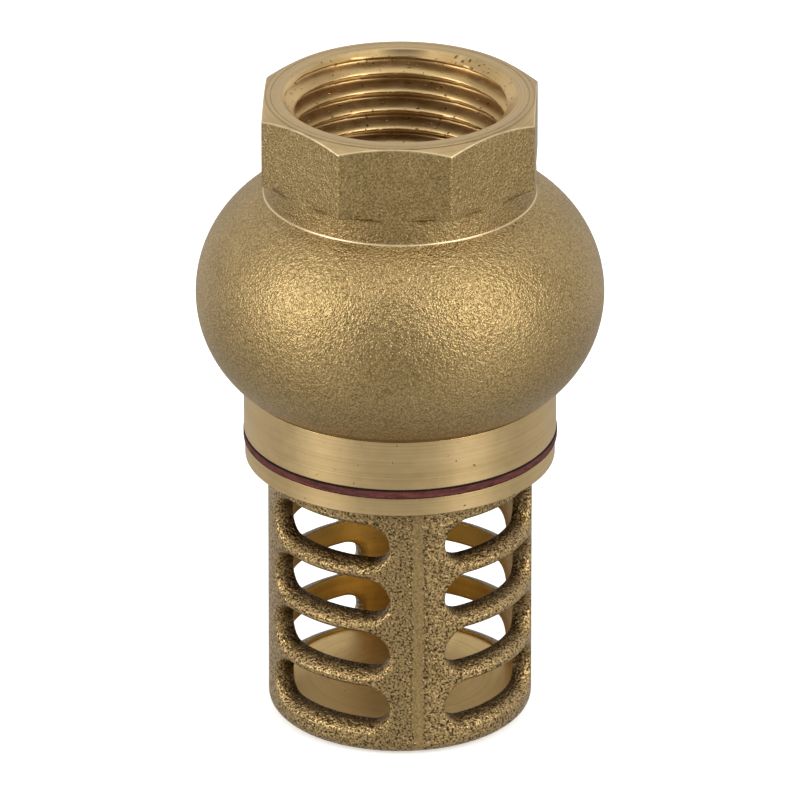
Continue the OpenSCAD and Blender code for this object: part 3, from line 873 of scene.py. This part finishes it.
standFor(makeBody(), "body", "housing")
print("valve body made")
standFor(makeBasket(), "strainer_basket", "housing")
print("strainer basket made")
standFor(makeGasket(), "joint_gasket", "housing")
print("gasket made")
spring = standFor(makeSpring(), "closing_spring", "spring_seat")
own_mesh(spring)
print("spring made")


# finishes of the pieces that keep their CAD shape

keptFinish = {
    "spider": "inner", "spider_ring": "stainless", "guide_bush": "acetal", "valve_stem": "stainless",
    "disc_head": "inner", "disc_seal": "rubber", "seal_plate": "inner", "wing_guide": "inner",
    "lock_washer": "stainless", "stem_nut": "stainless", "stem_clip": "stainless",
    "spring_washer": "stainless",
}
for name, finish in keptFinish.items():
    for place in frame["nodes"][name].material_slots:
        place.material = finishes[finish]
print("kept pieces finished:", len(keptFinish))


# floor, light and camera

studio = {
    "azimuth": 2.15, "elevation": 24.78, "distance": 1.2656, "targetHeight": 0.02966, "lens": 636.0,
    "world": (0.48, 0.48, 0.48), "worldStrength": 1.0, "floorSize": 6.0, "floorDrop": 0.0001,
    "floorTone": (0.93, 0.93, 0.93), "floorGlow": 0.5, "sensor": 36.0,
    "cardWidth": 1.0, "cardHeight": 0.9, "cardElevation": 30, "cardDistance": 1.7,
}
softboxes = {
    # azimuth, elevation, distance, width, height, watts
    "leftBox": (-60, 27, 1.0, 0.42, 0.9, 4.7),
    "rightBox": (54, 30, 1.0, 0.42, 0.9, 4.8),
    "leftLow": (-55, -24, 1.0, 0.5, 0.5, 0.6),
    "rightLow": (54, -24, 1.0, 0.5, 0.5, 0.6),
    "topBox": (10, 84, 1.1, 1.2, 1.2, 2.4),
    "backBox": (180, 24, 1.1, 1.4, 0.5, 1.2),
    "leftRim": (-128, 8, 1.1, 0.9, 1.3, 1.3),
    "rightRim": (128, 8, 1.1, 0.9, 1.3, 1.3),
}
target = Vector((0, 0, studio["targetHeight"]))


def towards(azimuth, elevation):
    # the way out from the valve, azimuth 0 in front and counted towards +X
    a, e = math.radians(azimuth), math.radians(elevation)
    return Vector((math.sin(a) * math.cos(e), -math.cos(a) * math.cos(e), math.sin(e)))


def aim(thing, azimuth, elevation, distance):
    # stands a thing off the target, with its own Z axis pointing away from it
    way = towards(azimuth, elevation)
    thing.location = target + way * distance
    thing.rotation_mode = "QUATERNION"
    thing.rotation_quaternion = way.to_track_quat("Z", "Y")
    bpy.context.scene.collection.objects.link(thing)


def softbox(name, azimuth, elevation, distance, width, height, power):
    # a rectangular lamp that faces the target
    light = bpy.data.lights.new(name, "AREA")
    light.shape, light.size, light.size_y = "RECTANGLE", width, height
    light.energy = power
    aim(bpy.data.objects.new(name, light), azimuth, elevation, distance)


def sheet(name, width, height, sockets):
    # a flat rectangle round its own origin
    x, y = width / 2, height / 2
    mesh = bpy.data.meshes.new(name)
    mesh.from_pydata([(-x, -y, 0), (x, -y, 0), (x, y, 0), (-x, y, 0)], [], [(0, 1, 2, 3)])
    mesh.materials.append(Finish(name).surface(sockets))
    return bpy.data.objects.new(name, mesh)


floorTone = studio["floorTone"] + (1.0,)
floor = sheet("floor", studio["floorSize"], studio["floorSize"], {
    "Base Color": floorTone, "Roughness": 0.9, "Emission Color": floorTone,
    "Emission Strength": studio["floorGlow"]})
floor.location.z = -studio["floorDrop"]
floor.visible_glossy = False
floor.visible_shadow = False
bpy.context.scene.collection.objects.link(floor)

world = bpy.data.worlds.new("studio")
world.use_nodes = True
background = world.node_tree.nodes["Background"]
background.inputs["Color"].default_value = studio["world"] + (1.0,)
background.inputs["Strength"].default_value = studio["worldStrength"]
bpy.context.scene.world = world

for name, values in softboxes.items():
    softbox(name, *values)

# a dark card on the camera's side, seen only in reflections
card = sheet("darkCard", studio["cardWidth"], studio["cardHeight"], {
    "Base Color": (0.01, 0.01, 0.01, 1.0), "Roughness": 1.0})
card.visible_camera = card.visible_diffuse = card.visible_shadow = False
aim(card, studio["azimuth"], studio["cardElevation"], studio["cardDistance"])

camera = bpy.data.objects.new("camera", bpy.data.cameras.new("camera"))
camera.data.sensor_width, camera.data.lens = studio["sensor"], studio["lens"]
aim(camera, studio["azimuth"], studio["elevation"], studio["distance"])
bpy.context.scene.camera = camera
bpy.context.scene.view_settings.view_transform = "Standard"
print("studio set")
